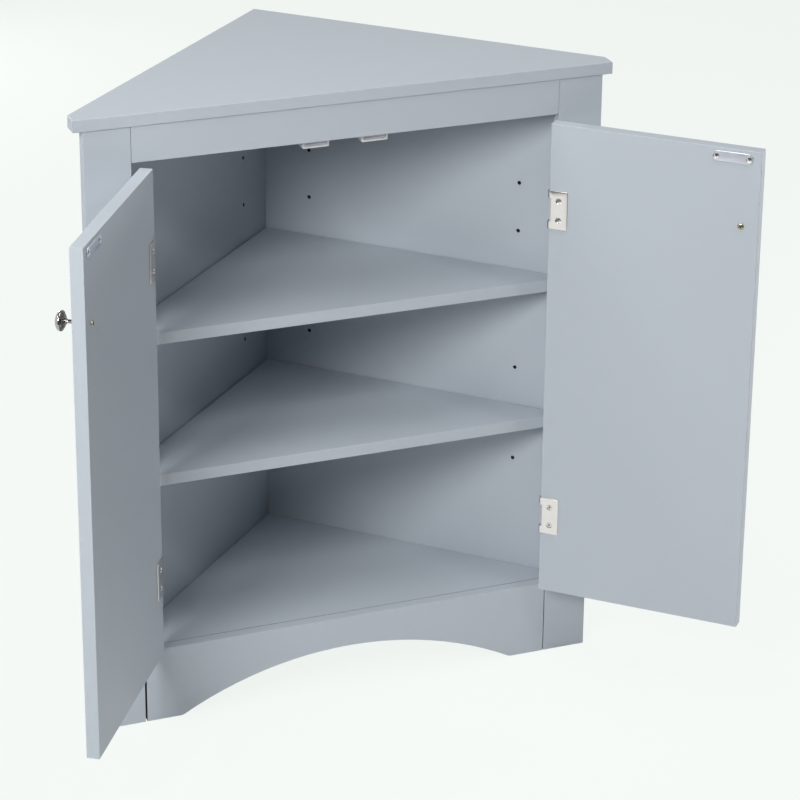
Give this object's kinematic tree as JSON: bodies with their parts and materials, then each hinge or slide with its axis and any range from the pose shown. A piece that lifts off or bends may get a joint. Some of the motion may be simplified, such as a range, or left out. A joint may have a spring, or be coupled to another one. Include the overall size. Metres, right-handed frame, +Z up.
{
  "type": "corner cupboard",
  "caption": "Low freestanding corner cupboard of painted board: triangular plan, overhanging top, doors on wrap-round hinges, pin-held shelves and an arched apron between flat feet.",
  "frame": {"origin": "on the floor, in the middle of the joint where the two side panels meet at the back corner", "axes": "+Z up, +X to the right as seen from the front, and the front frame and doors face -Y"},
  "size_m": [0.8849, 0.599, 0.8],
  "materials": {
    "painted_board": "fibreboard with a smooth satin blue-grey lacquer",
    "pin_steel": "bright nickel-plated steel",
    "hinge_steel": "nickel-plated pressed steel",
    "screw_steel": "nickel-plated countersunk screws with cross recesses",
    "strike_steel": "satin zinc-plated steel",
    "knob_nickel": "polished dark nickel",
    "yellow_zinc": "yellow-passivated zinc",
    "white_plastic": "moulded white plastic",
    "magnet": "grey ceramic magnet between steel pole plates"
  },
  "bodies": {
    "cabinet": {"top_panel": "painted_board", "left_side_panel": "painted_board", "right_side_panel": "painted_board", "left_stile": "painted_board", "right_stile": "painted_board", "top_rail": "painted_board", "apron": "painted_board", "bottom_panel": "painted_board", "upper_shelf": "painted_board", "lower_shelf": "painted_board", "upper_pin_back_left": "pin_steel", "upper_pin_back_right": "pin_steel", "upper_pin_front_left": "pin_steel", "upper_pin_front_right": "pin_steel", "lower_pin_back_left": "pin_steel", "lower_pin_back_right": "pin_steel", "lower_pin_front_left": "pin_steel", "lower_pin_front_right": "pin_steel", "left_catch_case": "white_plastic", "left_catch_magnet": "magnet", "left_catch_screw_1": "screw_steel", "left_catch_screw_2": "screw_steel", "right_catch_case": "white_plastic", "right_catch_magnet": "magnet", "right_catch_screw_1": "screw_steel", "right_catch_screw_2": "screw_steel", "left_upper_frame_leaf": "hinge_steel", "left_upper_hinge_pin": "hinge_steel", "left_lower_frame_leaf": "hinge_steel", "left_lower_hinge_pin": "hinge_steel", "right_upper_frame_leaf": "hinge_steel", "right_upper_hinge_pin": "hinge_steel", "right_lower_frame_leaf": "hinge_steel", "right_lower_hinge_pin": "hinge_steel"},
    "left_door": {"left_door_panel": "painted_board", "left_upper_door_leaf": "hinge_steel", "left_upper_leaf_screw_1": "screw_steel", "left_upper_leaf_screw_2": "screw_steel", "left_lower_door_leaf": "hinge_steel", "left_lower_leaf_screw_1": "screw_steel", "left_lower_leaf_screw_2": "screw_steel", "left_strike_plate": "strike_steel", "left_strike_screw_1": "screw_steel", "left_strike_screw_2": "screw_steel", "left_knob": "knob_nickel", "left_knob_bolt": "yellow_zinc"},
    "right_door": {"right_door_panel": "painted_board", "right_upper_door_leaf": "hinge_steel", "right_upper_leaf_screw_1": "screw_steel", "right_upper_leaf_screw_2": "screw_steel", "right_lower_door_leaf": "hinge_steel", "right_lower_leaf_screw_1": "screw_steel", "right_lower_leaf_screw_2": "screw_steel", "right_strike_plate": "strike_steel", "right_strike_screw_1": "screw_steel", "right_strike_screw_2": "screw_steel", "right_knob": "knob_nickel", "right_knob_bolt": "yellow_zinc"}
  },
  "joints": [
    {"name": "left_door_hinge", "type": "hinge", "parent": "cabinet", "child": "left_door", "pos_m": [-0.26715, -0.33598, 0.4175], "axis": [0, 0, -1], "range_deg": [-123.2, 56.8]},
    {"name": "right_door_hinge", "type": "hinge", "parent": "cabinet", "child": "right_door", "pos_m": [0.26715, -0.33598, 0.4175], "axis": [0, 0, 1], "range_deg": [-136.4, 43.6]}
  ]
}
